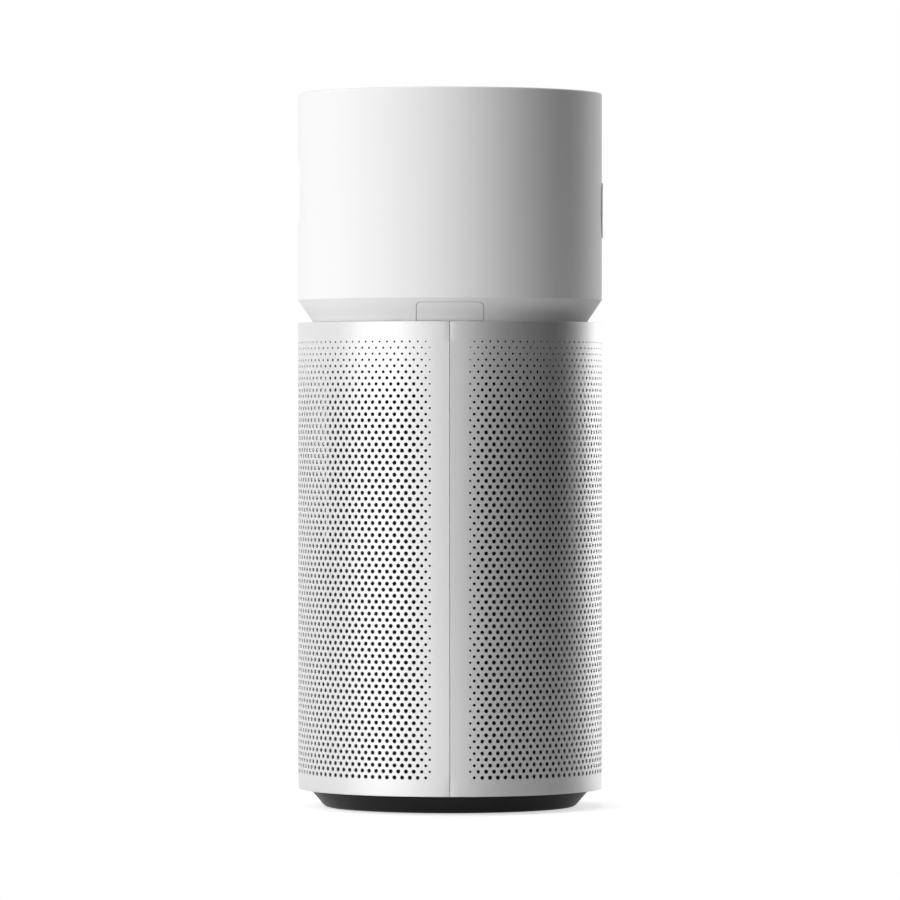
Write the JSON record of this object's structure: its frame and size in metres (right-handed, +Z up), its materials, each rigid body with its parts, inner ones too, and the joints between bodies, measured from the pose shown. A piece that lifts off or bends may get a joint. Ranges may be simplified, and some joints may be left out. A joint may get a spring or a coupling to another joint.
{
  "type": "air purifier",
  "caption": "Round tower air purifier: perforated lower half round a filter cartridge, plain upper drum with round display, top outlet and black base.",
  "frame": {"origin": "on the floor, under the centre of the body", "axes": "+Z up, -Y towards the round display, +X towards one of the two panel seams"},
  "size_m": [0.3, 0.3012, 0.704],
  "materials": {
    "shell_white": "fine matte moulded white",
    "panel_white": "satin white powder coat on perforated steel sheet",
    "inner_plastic": "plain moulded light grey",
    "black_plastic": "satin black",
    "display_glass": "gloss black acrylic lens",
    "rubber": "matte",
    "steel": "plain bright steel",
    "board": "green solder mask",
    "filter_paper": "pleated fibre media",
    "filter_net": "fine dark net"
  },
  "bodies": {
    "housing": {"base_pan": "black_plastic", "power_inlet": "black_plastic", "power_board": "board", "power_transformer": "black_plastic", "board_capacitor_1": "steel", "board_capacitor_2": "steel", "chassis_floor": "inner_plastic", "side_column_right": "inner_plastic", "side_column_left": "inner_plastic", "front_panel": "panel_white", "front_panel_rib_right": "shell_white", "front_panel_rib_left": "shell_white", "upper_deck": "inner_plastic", "intake_guard": "inner_plastic", "neck_cone": "shell_white", "button_spring_right": "steel", "button_spring_left": "steel", "upper_shell": "shell_white", "top_rim": "shell_white", "outlet_grille": "shell_white", "outlet_cap": "shell_white", "fan_casing": "inner_plastic", "motor_can": "steel", "motor_bearing_lower": "steel", "motor_bearing_upper": "steel", "diffuser": "inner_plastic", "hub_cover": "inner_plastic", "motor_driver_board": "board", "main_board": "board", "display_bezel": "shell_white", "display_glass": "display_glass", "display_board": "board", "particle_sensor": "black_plastic", "wiring_loom": "rubber", "foot_pad_1": "rubber", "base_screw_1": "steel", "foot_pad_2": "rubber", "base_screw_2": "steel", "foot_pad_3": "rubber", "base_screw_3": "steel", "foot_pad_4": "rubber", "base_screw_4": "steel"},
    "fan": {"impeller": "inner_plastic", "motor_shaft": "steel", "impeller_nut": "steel"},
    "rear_panel": {"rear_panel": "panel_white", "rear_panel_rib_right": "shell_white", "rear_panel_rib_left": "shell_white"},
    "filter": {"filter_media": "filter_paper", "filter_prefilter": "filter_net", "filter_core": "inner_plastic", "filter_bottom_cap": "black_plastic", "filter_top_cap": "black_plastic", "filter_seal": "rubber", "filter_pull_tab": "inner_plastic"},
    "release_button_right": {"release_button_right": "shell_white"},
    "release_button_left": {"release_button_left": "shell_white"},
    "sensor_cover": {"sensor_cover": "shell_white"}
  },
  "joints": [
    {"name": "fan_spin", "type": "hinge", "parent": "housing", "child": "fan", "pos_m": [0, 0, 0.525], "axis": [0, 0, 1], "continuous": true},
    {"name": "rear_panel_slide", "type": "slide", "parent": "housing", "child": "rear_panel", "axis": [0, 1, 0], "range_m": [0, 0.6]},
    {"name": "filter_slide", "type": "slide", "parent": "housing", "child": "filter", "axis": [0, 1, 0], "range_m": [0, 0.33]},
    {"name": "release_button_right_slide", "type": "slide", "parent": "housing", "child": "release_button_right", "axis": [-1, 0, 0], "range_m": [0, 0.003], "stiffness_N_per_m": 400, "springref_m": -0.003, "deforming": ["button_spring_right"]},
    {"name": "release_button_left_slide", "type": "slide", "parent": "housing", "child": "release_button_left", "axis": [1, 0, 0], "range_m": [0, 0.003], "stiffness_N_per_m": 400, "springref_m": -0.003, "deforming": ["button_spring_left"]},
    {"name": "sensor_cover_slide", "type": "slide", "parent": "housing", "child": "sensor_cover", "axis": [0, 1, 0], "range_m": [0, 0.04]}
  ],
  "couplings": [
    {"joint": "filter_slide", "follows": "rear_panel_slide", "ratio": 0.55}
  ]
}
